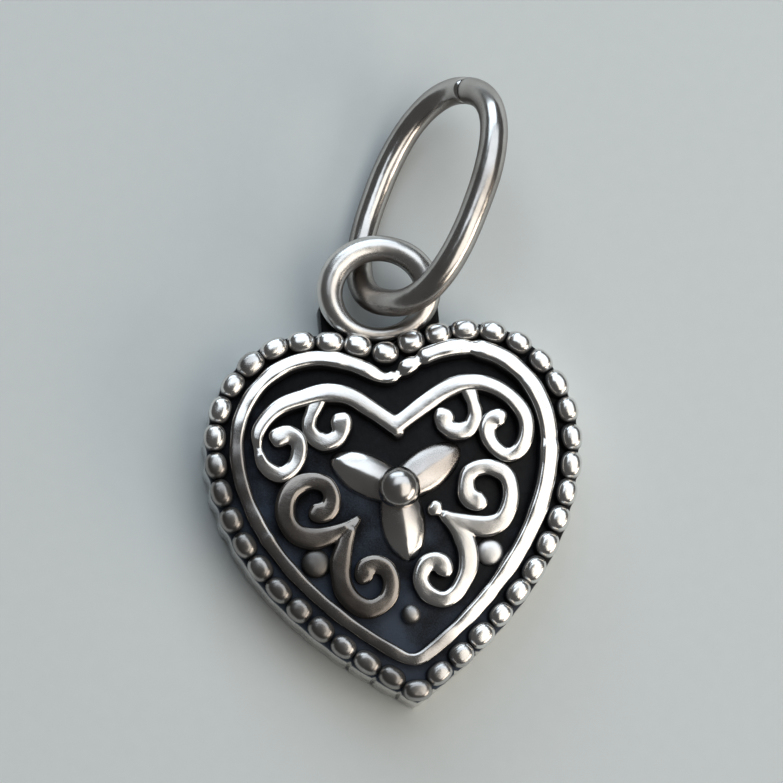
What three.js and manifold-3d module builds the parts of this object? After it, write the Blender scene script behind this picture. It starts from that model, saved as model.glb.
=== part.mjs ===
// Heart charm: a beaded heart plate with wire scrolls and a flower, a soldered loop and a loose jump ring.
// Millimetres. The heart lies on its back: X right, Y toward the loop, Z out of the face, origin on the back.
import * as THREE from 'three';
import { mergeVertices } from 'three/addons/utils/BufferGeometryUtils.js';
import Module from 'manifold-3d';

const wasm = await Module();
wasm.setup();

// Heart, measured on the line through the bead centres
const HEART_WIDTH = 11.42;
const HEART_TOP = 5.62;
const HEART_TIP = 5.79;
const HEART_WIDEST = 2.1;
const CLEFT_DEPTH = 0.56;

// Plate under everything, notched between the beads
const PLATE_THICKNESS = 1.7;
const PLATE_MARGIN = 0.03;
const NOTCH_DEPTH = 0.07;

// Border beads
const BEAD_COUNT = 40;
const BEAD_GAP = 0.13;
const BEAD_WIDTH = 0.62;
const BEAD_HEIGHT = 0.5;

// Rim wire and the dark channel that parts it from the beads
const RIM_WIDTH = 0.46;
const RIM_HEIGHT = 0.42;
const RIM_CHANNEL_TOP = 0.1;
const RIM_CHANNEL_SIDE = 0.21;
const RIM_CHANNEL_TIP = 0.37;
const RIM_CLEFT_DEPTH = 0.92;

// Scroll wires
const ARCH_WIDTH = 0.52;
const ARCH_CURL_WIDTH = 0.41;
const ARCH_HEIGHT = 0.45;
const BRANCH_WIDTH = 0.41;
const BRANCH_HEIGHT = 0.4;
const FORK_WIDTH = 0.49;
const FORK_HEIGHT = 0.42;
const KNOB_WIDTH = 0.53;

// Flower
const BALL_DIAMETER = 1.33;
const BALL_SUNK = 0.11;
const PETAL_TIP_RADIUS = 2.3;
const PETAL_WIDTH = 1.36;
const PETAL_HEIGHT = 0.55;
const PETAL_ANGLES = { left: 152, right: 28, lower: 270 };

// Loose granules among the scrolls
const DOT_LEFT = 0.89;
const DOT_RIGHT = 0.78;
const DOT_LOWER = 0.6;
const DOT_HEIGHT = 0.38;

// Loop, its saddle and the jump ring
const LOOP_WIRE = 0.86;
const LOOP_PLAY_WIDTH = 1.42;
const LOOP_PLAY_LENGTH = 1.25;
const LOOP_LET_IN = 0.38;
const LOOP_LIFT = 0.04;
const SADDLE_HEIGHT = 1.4;
const SADDLE_INSET = 0.06;
const SEAM = 0.02;
const RING_WIRE = 0.92;
const RING_LENGTH = 7.44;
const RING_WIDTH = 4.78;
const RING_SQUARENESS = 2.5;
const RING_CUT = 0.03;
const RING_HEADING = 64.4;
const RING_LIFT = 0.005;

// Places that follow from the sizes
const FIELD = PLATE_THICKNESS;
const HALF_WIDTH = HEART_WIDTH / 2;
const EDGE_OFFSET = BEAD_WIDTH / 2 + PLATE_MARGIN;
const RIM_OFFSET = BEAD_WIDTH / 2 + RIM_WIDTH / 2;
const RIM = {
  half: HALF_WIDTH - RIM_OFFSET - RIM_CHANNEL_SIDE,
  top: HEART_TOP - RIM_OFFSET - RIM_CHANNEL_TOP,
  tip: HEART_TIP - RIM_OFFSET - RIM_CHANNEL_TIP,
  cleft: RIM_CLEFT_DEPTH,
};
const LOOP_HALF_WIDTH = (RING_WIRE + LOOP_PLAY_WIDTH + LOOP_WIRE) / 2;
const LOOP_HALF_LENGTH = (RING_WIRE + LOOP_PLAY_LENGTH + LOOP_WIRE) / 2;
const LOOP_Z = FIELD + LOOP_LIFT;

const POLISHED = { color: 0xcfcdc9, metalness: 1, roughness: 0.24 };
const WORN = { color: 0xa9a6a3, metalness: 1, roughness: 0.32 };
const OXIDISED = { color: 0x23262b, metalness: 0.9, roughness: 0.5 };

const charm = new THREE.Group();

// One named piece in its own finish
function addPiece(name, geometry, finish, parent = charm) {
  const piece = new THREE.Mesh(geometry, new THREE.MeshStandardMaterial(finish));
  piece.name = name;
  parent.add(piece);
  return piece;
}

function point(x, y) {
  return new THREE.Vector2(x, y);
}

function mirrored(points) {
  return points.map((p) => point(-p.x, p.y));
}

// Right half of a heart from the cleft over the lobe and down the flank to the tip
function heartHalf({ half, top, tip, cleft }) {
  const peak = point(0.46 * half, top);
  const shoulder = point(0.55 * peak.x, top);
  const flankTop = point(half, HEART_WIDEST - 0.515 * half);
  const flankFoot = point(0.6 * half, 0.37 * half - tip);
  const path = new THREE.CurvePath();
  path.add(new THREE.QuadraticBezierCurve(point(0, top - cleft), shoulder, peak));
  path.add(
    new THREE.EllipseCurve(peak.x, HEART_WIDEST, half - peak.x, top - HEART_WIDEST, Math.PI / 2, 0, true),
  );
  path.add(new THREE.CubicBezierCurve(point(half, HEART_WIDEST), flankTop, flankFoot, point(0, -tip)));
  return path;
}

// Both halves as one ring of plan points, clockwise from the cleft
function wholeHeart(right) {
  const left = mirrored(right.slice(1, -1)).reverse();
  return [...right, ...left];
}

const beadLine = heartHalf({ half: HALF_WIDTH, top: HEART_TOP, tip: HEART_TIP, cleft: CLEFT_DEPTH });
const BEAD_PITCH = (2 * beadLine.getLength()) / BEAD_COUNT;
const BEAD_LENGTH = BEAD_PITCH - BEAD_GAP;

// Wire sections as [across, up] shares, from the right foot over the top to the left foot
const FLAT_FOOT = [
  [-0.5, 0],
  [-0.5, 0.45],
  [-0.38, 0.8],
  [-0.16, 1],
  [0.16, 1],
  [0.38, 0.8],
  [0.5, 0.45],
  [0.5, 0],
];
const RIDGE = [
  [-0.5, 0],
  [-0.36, 0.52],
  [-0.12, 0.9],
  [0, 1],
  [0.12, 0.9],
  [0.36, 0.52],
  [0.5, 0],
];
const ROUND_SIDES = 12;
const ROUND = Array.from({ length: ROUND_SIDES }, (_, k) => {
  const angle = Math.PI - (2 * Math.PI * k) / ROUND_SIDES;
  return [Math.cos(angle) / 2, Math.sin(angle) / 2];
});

// Direction across the wire at one station, lengthened where the wire turns a corner
function acrossAt(points, i, closed) {
  const n = points.length;
  const before = closed ? points[(i + n - 1) % n] : points[Math.max(i - 1, 0)];
  const after = closed ? points[(i + 1) % n] : points[Math.min(i + 1, n - 1)];
  const arriving = points[i].clone().sub(before).normalize();
  const leaving = after.clone().sub(points[i]).normalize();
  const along = arriving.clone().add(leaving).normalize();
  const straight = Math.max(along.dot(arriving), along.dot(leaving));
  return point(-along.y, along.x).divideScalar(straight);
}

// Wire of one section laid along plan points; width and height may vary from 0 to 1 along it
function layWire(points, { section, width, height, base = 0, closed = false }) {
  const sides = section.length;
  const stations = points.length;
  const vertices = [];
  points.forEach((p, i) => {
    const across = acrossAt(points, i, closed);
    const share = i / (stations - 1);
    section.forEach(([side, up]) => {
      const reach = side * width(share);
      vertices.push(p.x + across.x * reach, p.y + across.y * reach, base + up * height(share));
    });
  });
  const faces = [];
  const spans = closed ? stations : stations - 1;
  for (let i = 0; i < spans; i += 1) {
    const here = i * sides;
    const next = ((i + 1) % stations) * sides;
    for (let k = 0; k < sides; k += 1) {
      const k2 = (k + 1) % sides;
      faces.push(here + k, next + k2, here + k2, here + k, next + k, next + k2);
    }
  }
  if (!closed) {
    const last = (stations - 1) * sides;
    for (let k = 1; k < sides - 1; k += 1) {
      faces.push(0, k, k + 1, last, last + k + 1, last + k);
    }
  }
  const geometry = new THREE.BufferGeometry();
  geometry.setAttribute('position', new THREE.Float32BufferAttribute(vertices, 3));
  geometry.setIndex(faces);
  return geometry;
}

function steady(value) {
  return () => value;
}

// Solid for joining and cutting
function toSolid(geometry) {
  const bare = geometry.clone();
  bare.deleteAttribute('normal');
  bare.deleteAttribute('uv');
  const merged = mergeVertices(bare, 1e-4);
  return new wasm.Manifold(
    new wasm.Mesh({
      numProp: 3,
      vertProperties: merged.attributes.position.array,
      triVerts: new Uint32Array(merged.index.array),
    }),
  );
}

function fromSolid(solid) {
  const mesh = solid.getMesh();
  const geometry = new THREE.BufferGeometry();
  geometry.setAttribute('position', new THREE.Float32BufferAttribute(mesh.vertProperties, 3));
  geometry.setIndex(Array.from(mesh.triVerts));
  return geometry;
}

// Round granule with a flat foot, a unit across and a unit high; the foot is cut at the given sine
function granule(segments, rows, footSine) {
  const profile = [point(0, 0)];
  for (let i = 0; i <= rows; i += 1) {
    const angle = THREE.MathUtils.lerp(Math.asin(footSine), Math.PI / 2, i / rows);
    const radius = i === rows ? 0 : Math.cos(angle) / 2;
    profile.push(point(radius, (Math.sin(angle) - footSine) / (1 - footSine)));
  }
  return new THREE.LatheGeometry(profile, segments).rotateX(Math.PI / 2);
}

// Point at a distance outside the bead line, and the point on the axis where both halves meet
function outsideBeads(share, distance) {
  const along = beadLine.getTangentAt(share);
  return beadLine.getPointAt(share).add(point(-along.y, along.x).multiplyScalar(distance));
}

function cleftOutside(distance) {
  return point(0, HEART_TOP - CLEFT_DEPTH + 1.08 * distance);
}

// Right half of the plate's outline: the bead line pushed outward, drawn in between the beads
function plateEdge(offset) {
  const steps = BEAD_COUNT * 2;
  const right = [cleftOutside(offset)];
  for (let i = 0; i < steps; i += 1) {
    const share = i / steps;
    const notch = NOTCH_DEPTH * Math.sin((Math.PI * share * BEAD_COUNT) / 2) ** 2;
    const edge = outsideBeads(share, offset - notch);
    if (edge.x > BEAD_GAP) {
      right.push(edge);
    }
  }
  right.push(point(0, -HEART_TIP - 1.08 * offset));
  return right;
}

function heartBlock(offset, depth) {
  const outline = new THREE.Shape(wholeHeart(plateEdge(offset)));
  return new THREE.ExtrudeGeometry(outline, { depth, bevelEnabled: false });
}

const CLEFT_EDGE = cleftOutside(EDGE_OFFSET).y;
const LOOP_Y = CLEFT_EDGE + LOOP_WIRE / 2 + LOOP_HALF_LENGTH - LOOP_LET_IN;

// Plate
addPiece('heart_plate', heartBlock(EDGE_OFFSET, PLATE_THICKNESS), OXIDISED);

// Beads set at an even pitch, turned to lie along the border
const beadShape = granule(10, 5, -0.38).scale(BEAD_LENGTH, BEAD_WIDTH, BEAD_HEIGHT);
for (let i = 0; i < BEAD_COUNT; i += 1) {
  const onLeft = i > BEAD_COUNT / 2;
  const share = (2 * (onLeft ? BEAD_COUNT - i : i)) / BEAD_COUNT;
  const place = beadLine.getPointAt(share);
  const along = beadLine.getTangentAt(share);
  const onAxis = i % (BEAD_COUNT / 2) === 0;
  const turn = onAxis ? 0 : Math.atan2(along.y, along.x);
  const bead = addPiece(`border_bead_${String(i + 1).padStart(2, '0')}`, beadShape, POLISHED);
  bead.position.set(onLeft ? -place.x : place.x, place.y, FIELD);
  bead.rotation.z = onLeft ? -turn : turn;
}

// Rim wire inside the beads
const rimPoints = wholeHeart(heartHalf(RIM).getSpacedPoints(48));
const rimWire = layWire(rimPoints, {
  section: FLAT_FOOT,
  width: steady(RIM_WIDTH),
  height: steady(RIM_HEIGHT),
  base: FIELD,
  closed: true,
});
addPiece('rim_wire', rimWire, POLISHED);

// Ornament points are shares of the rim's half width and half height
function spot([across, up]) {
  const middle = (RIM.top - RIM.tip) / 2;
  return point(across * RIM.half, middle + (up * (RIM.top + RIM.tip)) / 2);
}

function scrollPath(spots, stations) {
  const curve = new THREE.CatmullRomCurve3(spots.map((s) => new THREE.Vector3(...spot(s).toArray(), 0)));
  return curve.getSpacedPoints(stations).map((p) => point(p.x, p.y));
}

// Width along a scroll: thick to thin, a fine root where it has one, and a round knob at the curled end
function scrollWidth(rootWidth, stemWidth, curlWidth, rootShare) {
  const knobShare = 0.9;
  return (share) => {
    const stem = THREE.MathUtils.lerp(stemWidth, curlWidth, THREE.MathUtils.smoothstep(share, 0.3, 0.7));
    const root = THREE.MathUtils.lerp(rootWidth, stem, THREE.MathUtils.smoothstep(share, 0, rootShare));
    const knob = Math.min(Math.max((share - knobShare) / (1 - knobShare), 0), 1);
    const swell = THREE.MathUtils.lerp(root, KNOB_WIDTH, Math.sin(Math.PI * Math.min(knob, 0.5)));
    return swell * Math.sqrt(1 - 0.75 * Math.max(2 * knob - 1, 0) ** 2);
  };
}

// Arch: one wire bent to a V in the middle and curled at both ends
const ARCH_SPOTS = [
  [0, 0.52],
  [0.13, 0.61],
  [0.26, 0.72],
  [0.39, 0.77],
  [0.53, 0.77],
  [0.66, 0.71],
  [0.78, 0.6],
  [0.85, 0.47],
  [0.82, 0.34],
  [0.71, 0.285],
  [0.62, 0.34],
  [0.595, 0.44],
  [0.64, 0.515],
  [0.71, 0.51],
];
const archRight = scrollPath(ARCH_SPOTS, 40);
const archPoints = [...mirrored(archRight.slice(1)).reverse(), ...archRight];
const archHalfWidth = scrollWidth(ARCH_WIDTH, ARCH_WIDTH, ARCH_CURL_WIDTH, 0.1);
const archScroll = layWire(archPoints, {
  section: FLAT_FOOT,
  width: (share) => archHalfWidth(Math.abs(2 * share - 1)),
  height: steady(ARCH_HEIGHT),
  base: FIELD,
});
addPiece('arch_scroll', archScroll, POLISHED);

// Small curls that branch from the underside of the arch
const BRANCH_SPOTS = [
  [0.495, 0.695],
  [0.54, 0.6],
  [0.502, 0.493],
  [0.425, 0.45],
  [0.33, 0.49],
  [0.3, 0.57],
  [0.34, 0.61],
];
const branchRight = scrollPath(BRANCH_SPOTS, 22);
const branchSize = {
  section: FLAT_FOOT,
  width: scrollWidth(BRANCH_WIDTH / 2, BRANCH_WIDTH, BRANCH_WIDTH, 0.3),
  height: steady(BRANCH_HEIGHT),
  base: FIELD,
};
addPiece('arch_curl_right', layWire(branchRight, branchSize), POLISHED);
addPiece('arch_curl_left', layWire(mirrored(branchRight), branchSize), POLISHED);

// Forked scrolls beside the flower: an upper volute with the lower one branching from its stem
const FORK_UPPER_SPOTS = [
  [0.22, -0.01],
  [0.32, -0.11],
  [0.46, -0.165],
  [0.59, -0.15],
  [0.7, -0.06],
  [0.715, 0.08],
  [0.66, 0.185],
  [0.55, 0.235],
  [0.45, 0.2],
  [0.415, 0.1],
  [0.455, 0.015],
  [0.53, 0.02],
];
const FORK_LOWER_SPOTS = [
  [0.315, -0.09],
  [0.38, -0.23],
  [0.41, -0.36],
  [0.37, -0.505],
  [0.28, -0.59],
  [0.175, -0.6],
  [0.095, -0.525],
  [0.09, -0.42],
  [0.155, -0.35],
  [0.24, -0.37],
  [0.275, -0.41],
];
const forkUpper = scrollPath(FORK_UPPER_SPOTS, 32);
const forkLower = scrollPath(FORK_LOWER_SPOTS, 28);

function forkScroll(upper, lower) {
  const common = { section: FLAT_FOOT, base: FIELD };
  const width = scrollWidth(0.75 * FORK_WIDTH, FORK_WIDTH, 0.94 * FORK_WIDTH, 0.15);
  const stem = layWire(upper, { ...common, width, height: steady(FORK_HEIGHT) });
  const branch = layWire(lower, { ...common, width, height: steady(0.98 * FORK_HEIGHT) });
  return fromSolid(toSolid(stem).add(toSolid(branch)));
}

addPiece('fork_scroll_right', forkScroll(forkUpper, forkLower), POLISHED);
addPiece('fork_scroll_left', forkScroll(mirrored(forkUpper), mirrored(forkLower)), WORN);

// Flower: a ball with three ridged petals that run in under it
const BALL_RADIUS = BALL_DIAMETER / 2;
const PETAL_ROOT = 0.8 * BALL_RADIUS;
const PETAL_STATIONS = 12;
const flower = new THREE.Group();
flower.position.set(...spot([0, 0.12]).toArray(), FIELD);
charm.add(flower);

const ball = granule(18, 9, BALL_SUNK / BALL_RADIUS - 1);
ball.scale(BALL_DIAMETER, BALL_DIAMETER, BALL_DIAMETER - BALL_SUNK);
addPiece('flower_ball', ball, POLISHED, flower);

const petalLine = Array.from({ length: PETAL_STATIONS + 1 }, (_, i) =>
  point(THREE.MathUtils.lerp(PETAL_ROOT, PETAL_TIP_RADIUS, i / PETAL_STATIONS), 0),
);
const petalWidest = 0.36;
const petal = layWire(petalLine, {
  section: RIDGE,
  width: (share) => {
    const away = share < petalWidest ? (petalWidest - share) / 0.72 : (share - petalWidest) / 0.66;
    return PETAL_WIDTH * (1 - away ** 2) ** 0.85;
  },
  height: (share) => PETAL_HEIGHT * Math.max(Math.sin(Math.PI * share ** 0.75), 0.12),
});
Object.entries(PETAL_ANGLES).forEach(([side, angle]) => {
  const leaf = addPiece(`petal_${side}`, petal, POLISHED, flower);
  leaf.rotation.z = THREE.MathUtils.degToRad(angle);
});

// Granules in the corners of the scrolls
const dotShape = granule(12, 5, -0.3);
const DOTS = {
  left: { size: DOT_LEFT, at: [-0.57, -0.315] },
  right: { size: DOT_RIGHT, at: [0.55, -0.33] },
  lower: { size: DOT_LOWER, at: [0.005, -0.69] },
};
Object.entries(DOTS).forEach(([side, { size, at }]) => {
  const dot = addPiece(`dot_${side}`, dotShape.clone().scale(size, size, DOT_HEIGHT), POLISHED);
  dot.position.set(...spot(at).toArray(), FIELD);
});

// Oval loop of round wire, its foot filed to the plate's edge where it is soldered on
const loopLine = new THREE.EllipseCurve(0, LOOP_Y, LOOP_HALF_WIDTH, LOOP_HALF_LENGTH).getSpacedPoints(48);
const loopBlank = layWire(loopLine.slice(0, -1), {
  section: ROUND,
  width: steady(LOOP_WIRE),
  height: steady(LOOP_WIRE),
  base: LOOP_Z,
  closed: true,
});
const filedOff = heartBlock(EDGE_OFFSET + SEAM, LOOP_Z + LOOP_WIRE);
const loop = toSolid(loopBlank).subtract(toSolid(filedOff));
addPiece('hanger_loop', fromSolid(loop), POLISHED);

// Saddle that fills the cleft under the loop and leaves the loop's hole open
function saddleShape() {
  const side = LOOP_HALF_WIDTH + LOOP_WIRE / 2 - SADDLE_INSET;
  const top = CLEFT_EDGE + SADDLE_HEIGHT;
  const holeWidth = LOOP_HALF_WIDTH - LOOP_WIRE / 2 + SADDLE_INSET;
  const holeLength = LOOP_HALF_LENGTH - LOOP_WIRE / 2 + SADDLE_INSET;
  const hornAngle = Math.asin((top - LOOP_Y) / holeLength);
  const foot = [];
  for (let share = 0; foot.length === 0 || foot.at(-1).x < side; share += 0.005) {
    foot.push(outsideBeads(share, EDGE_OFFSET + SEAM));
  }
  const right = [cleftOutside(EDGE_OFFSET + SEAM), ...foot.filter((p) => p.x > BEAD_GAP)];
  right.at(-1).x = side;
  const shape = new THREE.Shape(right);
  shape.lineTo(side, top);
  shape.absellipse(0, LOOP_Y, holeWidth, holeLength, hornAngle, -Math.PI - hornAngle, true);
  shape.lineTo(-side, top);
  mirrored(right).reverse().forEach((p) => shape.lineTo(p.x, p.y));
  return shape;
}

const saddle = new THREE.ExtrudeGeometry(saddleShape(), {
  depth: LOOP_Z - LOOP_WIRE / 2 - SEAM,
  bevelEnabled: false,
  curveSegments: 16,
});
addPiece('loop_saddle', saddle, OXIDISED);

// Oval of the jump ring, cut across at one end
class CutOval extends THREE.Curve {
  constructor(length, width, squareness, cut) {
    super();
    this.halfLength = length / 2;
    this.halfWidth = width / 2;
    this.power = 2 / squareness;
    this.start = (cut / width) ** (1 / this.power);
    this.arcLengthDivisions = 400;
  }

  getPoint(t, target = new THREE.Vector2()) {
    const angle = THREE.MathUtils.lerp(this.start, 2 * Math.PI - this.start, t);
    const along = Math.cos(angle);
    const across = Math.sin(angle);
    return target.set(
      this.halfLength * Math.sign(along) * Math.abs(along) ** this.power,
      this.halfWidth * Math.sign(across) * Math.abs(across) ** this.power,
    );
  }
}

// Jump ring threaded through the loop: one limb lies on the table and the other leans over the loop
const WIRES_APART = (LOOP_WIRE + RING_WIRE) / 2;
const ringSeat = new THREE.Vector3(
  0.2 * WIRES_APART,
  LOOP_Y - LOOP_HALF_LENGTH + 1.262 * WIRES_APART,
  LOOP_Z + 0.63 * WIRES_APART,
);
const ringLean = Math.asin((ringSeat.z - RING_WIRE / 2 - RING_LIFT) / (RING_WIDTH / 2));
const ringLine = new CutOval(RING_LENGTH, RING_WIDTH, RING_SQUARENESS, RING_CUT).getSpacedPoints(72);
const ringWire = layWire(ringLine, {
  section: ROUND,
  width: steady(RING_WIRE),
  height: steady(RING_WIRE),
});
ringWire.translate(RING_LENGTH / 2, 0, 0);
const jumpRing = addPiece('jump_ring', ringWire, POLISHED);
jumpRing.position.copy(ringSeat);
jumpRing.rotation.set(-ringLean, 0, THREE.MathUtils.degToRad(RING_HEADING), 'ZYX');

export default charm;
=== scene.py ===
"""Heart charm: a beaded silver heart with wire scrolls, a soldered loop and a loose jump ring."""

import logging
import math
from dataclasses import dataclass
from enum import Enum
from functools import cache
from typing import Any, Sequence

import bmesh
import bpy
import numpy as np
from mathutils import Matrix, Vector


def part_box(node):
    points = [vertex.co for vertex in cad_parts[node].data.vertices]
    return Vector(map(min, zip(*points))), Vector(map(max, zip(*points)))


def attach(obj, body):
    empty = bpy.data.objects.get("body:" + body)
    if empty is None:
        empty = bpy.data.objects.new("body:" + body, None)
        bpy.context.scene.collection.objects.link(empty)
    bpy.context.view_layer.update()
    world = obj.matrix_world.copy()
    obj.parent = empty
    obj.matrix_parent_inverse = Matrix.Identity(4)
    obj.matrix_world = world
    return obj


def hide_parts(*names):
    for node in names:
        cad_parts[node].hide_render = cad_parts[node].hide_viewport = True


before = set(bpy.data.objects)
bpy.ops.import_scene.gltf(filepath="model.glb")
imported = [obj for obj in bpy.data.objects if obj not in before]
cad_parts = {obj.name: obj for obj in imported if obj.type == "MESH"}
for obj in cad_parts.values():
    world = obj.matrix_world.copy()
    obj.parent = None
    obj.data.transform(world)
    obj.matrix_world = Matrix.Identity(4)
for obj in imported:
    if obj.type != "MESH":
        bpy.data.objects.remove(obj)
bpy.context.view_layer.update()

log = logging.getLogger("heart_charm")

MM = 0.001
Colour = tuple[float, float, float]
Spots = tuple[tuple[float, ...], ...]


class Body(Enum):
    """The bodies that pieces ride on."""

    HEART = "heart"
    RING = "jump_ring"


class Slot(Enum):
    """The record's material slots."""

    POLISHED = "polished_silver"
    WORN = "worn_silver"
    OXIDISED = "oxidised_silver"


class Section(Enum):
    """How a wire is cut across: laid flat on the plate, or drawn round."""

    LAID = "laid"
    ROUND = "round"


# Nodes


class Term:
    """A number on a node socket; arithmetic on it adds Math nodes."""

    def __init__(self, bench: "Bench", socket: bpy.types.NodeSocket) -> None:
        """Keeps the bench that adds the nodes and the socket that carries the number."""
        self.bench = bench
        self.socket = socket

    def _math(self, operation: str, *values: Any) -> "Term":
        """Adds one Math node, with numbers, terms or sockets for its sockets in order."""
        made = self.bench.node("ShaderNodeMath", {"operation": operation}, dict(enumerate(values)))
        return Term(self.bench, made.outputs[0])

    def __add__(self, other: Any) -> "Term":
        """This plus other."""
        return self._math("ADD", self, other)

    __radd__ = __add__

    def __sub__(self, other: Any) -> "Term":
        """This less other."""
        return self._math("SUBTRACT", self, other)

    def __rsub__(self, other: Any) -> "Term":
        """Other less this."""
        return self._math("SUBTRACT", other, self)

    def __mul__(self, other: Any) -> "Term":
        """This times other."""
        return self._math("MULTIPLY", self, other)

    __rmul__ = __mul__

    def __truediv__(self, other: Any) -> "Term":
        """This over other."""
        return self._math("DIVIDE", self, other)

    def __pow__(self, other: float) -> "Term":
        """This to a power."""
        return self._math("POWER", self, other)

    def __abs__(self) -> "Term":
        """This without its sign."""
        return self._math("ABSOLUTE", self)

    def sign(self) -> "Term":
        """Minus one, nought or one."""
        return self._math("SIGN", self)

    def at_least(self, floor: float) -> "Term":
        """This, or floor where this is lower."""
        return self._math("MAXIMUM", self, floor)

    def step(self, low: float, high: float) -> "Term":
        """A smooth step.

        Args:
            low: the value up to which it is 0.
            high: the value from which it is 1.

        Returns:
            The step as a term.
        """
        ends = {"Value": self, "From Min": low, "From Max": high}
        made = self.bench.node("ShaderNodeMapRange", {"interpolation_type": "SMOOTHSTEP"}, ends)
        return Term(self.bench, made.outputs[0])


@dataclass
class Bench:
    """Lays nodes in one tree, for shaders and for geometry alike."""

    tree: bpy.types.NodeTree

    def node(self, kind: str, settings: dict[str, Any], inputs: dict[Any, Any]) -> bpy.types.Node:
        """Adds a node.

        Args:
            kind: the node's type name.
            settings: properties, which are set first.
            inputs: what its sockets get, as for feed.

        Returns:
            The node.
        """
        made = self.tree.nodes.new(kind)
        for name, value in settings.items():
            setattr(made, name, value)
        self.feed(made, inputs)
        return made

    def feed(self, node: bpy.types.Node, inputs: dict[Any, Any]) -> None:
        """Sets or links a node's sockets.

        Args:
            node: the node.
            inputs: values, terms, sockets or nodes, for their first output, by socket name or number.
        """
        for name, value in inputs.items():
            if isinstance(value, bpy.types.Node):
                value = value.outputs[0]
            if isinstance(value, Term):
                value = value.socket
            if isinstance(value, bpy.types.NodeSocket):
                self.tree.links.new(value, node.inputs[name])
            else:
                node.inputs[name].default_value = value

    def term(self, socket: bpy.types.NodeSocket) -> Term:
        """Wraps a socket for arithmetic."""
        return Term(self, socket)

    def split(self, vector: Any) -> tuple[Term, Term, Term]:
        """The three numbers of a vector."""
        made = self.node("ShaderNodeSeparateXYZ", {}, {0: vector})
        return tuple(self.term(made.outputs[i]) for i in range(3))

    def join(self, x: Any, y: Any, z: Any) -> bpy.types.NodeSocket:
        """A vector of three numbers."""
        return self.node("ShaderNodeCombineXYZ", {}, {0: x, 1: y, 2: z}).outputs[0]

    def noise(self, where: Any, size: float, seed: Any = 0.0, detail: float = 2.0) -> Term:
        """Cloudy noise.

        Args:
            where: the vector to read it at.
            size: the width of a cloud, in the vector's unit.
            seed: which cloud field is read.
            detail: how many finer layers it has.

        Returns:
            A term from -0.5 to 0.5, about nought on average.
        """
        inputs = {"Vector": where, "W": seed, "Scale": 1 / size, "Detail": detail}
        made = self.node("ShaderNodeTexNoise", {"noise_dimensions": "4D"}, inputs)
        return self.term(made.outputs[0]) - 0.5

    def mix(self, share: Term, low: Any, high: Any) -> bpy.types.NodeSocket:
        """Blends two colours or sockets, from low at a share of 0 to high at 1."""
        low, high = ((*c, 1.0) if isinstance(c, tuple) else c for c in (low, high))
        # By number, because the sockets for colours share their names with those for other kinds
        return self.node("ShaderNodeMix", {"data_type": "RGBA"}, {0: share, 6: low, 7: high}).outputs[2]

    def bump(self, relief: Term) -> bpy.types.NodeSocket:
        """The normal of a surface with a relief in millimetres."""
        inputs = {"Strength": 1.0, "Distance": MM, "Height": relief}
        return self.node("ShaderNodeBump", {}, inputs).outputs[0]


# Finishes


@dataclass(frozen=True)
class Finish:
    """A procedural finish, read in the piece's own coordinates."""

    name: str

    @cache
    def material(self) -> bpy.types.Material:
        """Builds the shader, once for each finish.

        Returns:
            The material.
        """
        made = bpy.data.materials.new(self.name)
        made.use_nodes = True
        bench = Bench(made.node_tree)
        place = bench.node("ShaderNodeTexCoord", {}, {}).outputs["Object"]
        bench.feed(made.node_tree.nodes["Principled BSDF"], self.surface(bench, place))
        return made

    def surface(self, bench: Bench, place: bpy.types.NodeSocket) -> dict[str, Any]:
        """What the shader's sockets get.

        Args:
            bench: the shader's bench.
            place: the point on the surface, in metres.

        Returns:
            Values, terms or sockets by socket name.
        """
        raise NotImplementedError


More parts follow.
